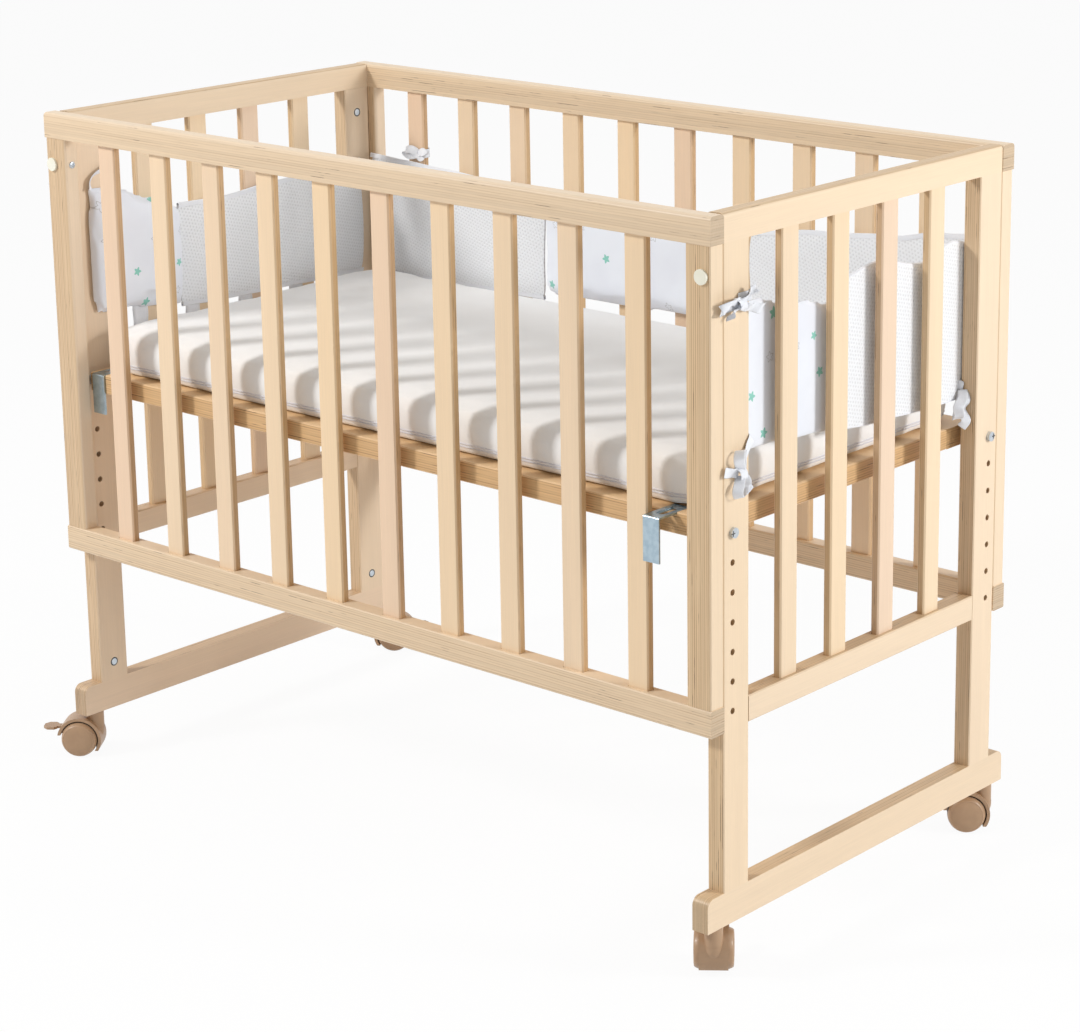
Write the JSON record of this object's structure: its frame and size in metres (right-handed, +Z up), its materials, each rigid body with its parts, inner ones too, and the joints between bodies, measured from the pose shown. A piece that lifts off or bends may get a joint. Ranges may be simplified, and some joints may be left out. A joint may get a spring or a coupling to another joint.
{
  "type": "bedside sleeper crib",
  "caption": "Wooden bedside crib with slatted sides, a front panel that pulls off, a height-set base with hook plates for the big bed, swivel casters with brakes, mattress and bumper.",
  "frame": {"origin": "on the floor, under the middle of the wooden frame", "axes": "+Z up, +X along the crib to the right seen from the open side, +Y from the open side to the back panel"},
  "size_m": [1.0045, 0.5532, 0.7635],
  "materials": {
    "frame_wood": "clear satin lacquer over laminated board",
    "base_wood": "planed, unlacquered",
    "zinc_plate": "blue zinc plating",
    "steel": "zinc plating",
    "cap_plastic": "smooth ivory",
    "caster_plastic": "satin tan",
    "wheel_plastic": "satin tan",
    "lever_plastic": "satin tan",
    "mattress_cover": "white knitted cover",
    "bumper_fabric": "white cotton with a star print, and white spacer mesh",
    "ribbon": "white satin"
  },
  "bodies": {
    "frame": {"leg_front_left": "frame_wood", "leg_front_right": "frame_wood", "leg_back_left": "frame_wood", "leg_back_right": "frame_wood", "end_top_rail_left": "frame_wood", "end_top_rail_right": "frame_wood", "end_bottom_rail_left": "frame_wood", "end_bottom_rail_right": "frame_wood", "end_slats_left": "frame_wood", "end_slats_right": "frame_wood", "foot_rail_left": "frame_wood", "foot_rail_right": "frame_wood", "back_top_rail": "frame_wood", "back_bottom_rail": "frame_wood", "back_stile_left": "frame_wood", "back_stile_right": "frame_wood", "back_slats": "frame_wood", "panel_studs": "steel", "back_caps": "cap_plastic", "bumper_left": "bumper_fabric", "bumper_back": "bumper_fabric", "bumper_right": "bumper_fabric", "ribbon_ties": "ribbon", "caster_stems": "steel"},
    "front_panel": {"front_top_rail": "frame_wood", "front_bottom_rail": "frame_wood", "front_stile_left": "frame_wood", "front_stile_right": "frame_wood", "front_slats": "frame_wood", "front_caps": "cap_plastic"},
    "bed_base": {"base_front_rail": "base_wood", "base_back_rail": "base_wood", "base_end_rails": "base_wood", "base_slats": "base_wood", "base_bolts": "steel", "hook_screws": "steel", "mattress": "mattress_cover"},
    "hook_left": {"hook_left": "zinc_plate"},
    "hook_right": {"hook_right": "zinc_plate"},
    "caster_front_left": {"caster_front_left_hood": "caster_plastic"},
    "wheels_front_left": {"caster_front_left_wheels": "wheel_plastic"},
    "lever_front_left": {"caster_front_left_lever": "lever_plastic"},
    "caster_front_right": {"caster_front_right_hood": "caster_plastic"},
    "wheels_front_right": {"caster_front_right_wheels": "wheel_plastic"},
    "lever_front_right": {"caster_front_right_lever": "lever_plastic"},
    "caster_back_left": {"caster_back_left_hood": "caster_plastic"},
    "wheels_back_left": {"caster_back_left_wheels": "wheel_plastic"},
    "lever_back_left": {"caster_back_left_lever": "lever_plastic"},
    "caster_back_right": {"caster_back_right_hood": "caster_plastic"},
    "wheels_back_right": {"caster_back_right_wheels": "wheel_plastic"},
    "lever_back_right": {"caster_back_right_lever": "lever_plastic"}
  },
  "joints": [
    {"name": "front_panel_slide", "type": "slide", "parent": "frame", "child": "front_panel", "axis": [0, -1, 0], "range_m": [0, 0.15]},
    {"name": "base_height", "type": "slide", "parent": "frame", "child": "bed_base", "axis": [0, 0, 1], "range_m": [-0.18, 0]},
    {"name": "hook_left_slide", "type": "slide", "parent": "bed_base", "child": "hook_left", "axis": [0, -1, 0], "range_m": [0, 0.024]},
    {"name": "hook_right_slide", "type": "slide", "parent": "bed_base", "child": "hook_right", "axis": [0, -1, 0], "range_m": [-0.024, 0]},
    {"name": "front_left_swivel", "type": "hinge", "parent": "frame", "child": "caster_front_left", "pos_m": [-0.46775, -0.235, 0.045], "axis": [0, 0, 1], "continuous": true},
    {"name": "front_left_roll", "type": "hinge", "parent": "caster_front_left", "child": "wheels_front_left", "pos_m": [-0.48199, -0.24601, 0.021], "axis": [0.6115, -0.7912, 0], "continuous": true},
    {"name": "front_left_brake", "type": "hinge", "parent": "caster_front_left", "child": "lever_front_left", "pos_m": [-0.49228, -0.25396, 0.0325], "axis": [0.6115, -0.7912, 0], "range_deg": [0, 12]},
    {"name": "front_right_swivel", "type": "hinge", "parent": "frame", "child": "caster_front_right", "pos_m": [0.46775, -0.235, 0.045], "axis": [0, 0, 1], "continuous": true},
    {"name": "front_right_roll", "type": "hinge", "parent": "caster_front_right", "child": "wheels_front_right", "pos_m": [0.45674, -0.22076, 0.021], "axis": [-0.7912, -0.6115, 0], "continuous": true},
    {"name": "front_right_brake", "type": "hinge", "parent": "caster_front_right", "child": "lever_front_right", "pos_m": [0.44879, -0.21047, 0.0325], "axis": [-0.7912, -0.6115, 0], "range_deg": [0, 12]},
    {"name": "back_left_swivel", "type": "hinge", "parent": "frame", "child": "caster_back_left", "pos_m": [-0.46775, 0.235, 0.045], "axis": [0, 0, 1], "continuous": true},
    {"name": "back_left_roll", "type": "hinge", "parent": "caster_back_left", "child": "wheels_back_left", "pos_m": [-0.45351, 0.24601, 0.021], "axis": [-0.6115, 0.7912, 0], "continuous": true},
    {"name": "back_left_brake", "type": "hinge", "parent": "caster_back_left", "child": "lever_back_left", "pos_m": [-0.44322, 0.25396, 0.0325], "axis": [-0.6115, 0.7912, 0], "range_deg": [0, 12]},
    {"name": "back_right_swivel", "type": "hinge", "parent": "frame", "child": "caster_back_right", "pos_m": [0.46775, 0.235, 0.045], "axis": [0, 0, 1], "continuous": true},
    {"name": "back_right_roll", "type": "hinge", "parent": "caster_back_right", "child": "wheels_back_right", "pos_m": [0.45351, 0.22399, 0.021], "axis": [0.6115, -0.7912, 0], "continuous": true},
    {"name": "back_right_brake", "type": "hinge", "parent": "caster_back_right", "child": "lever_back_right", "pos_m": [0.44322, 0.21604, 0.0325], "axis": [0.6115, -0.7912, 0], "range_deg": [0, 12]}
  ]
}
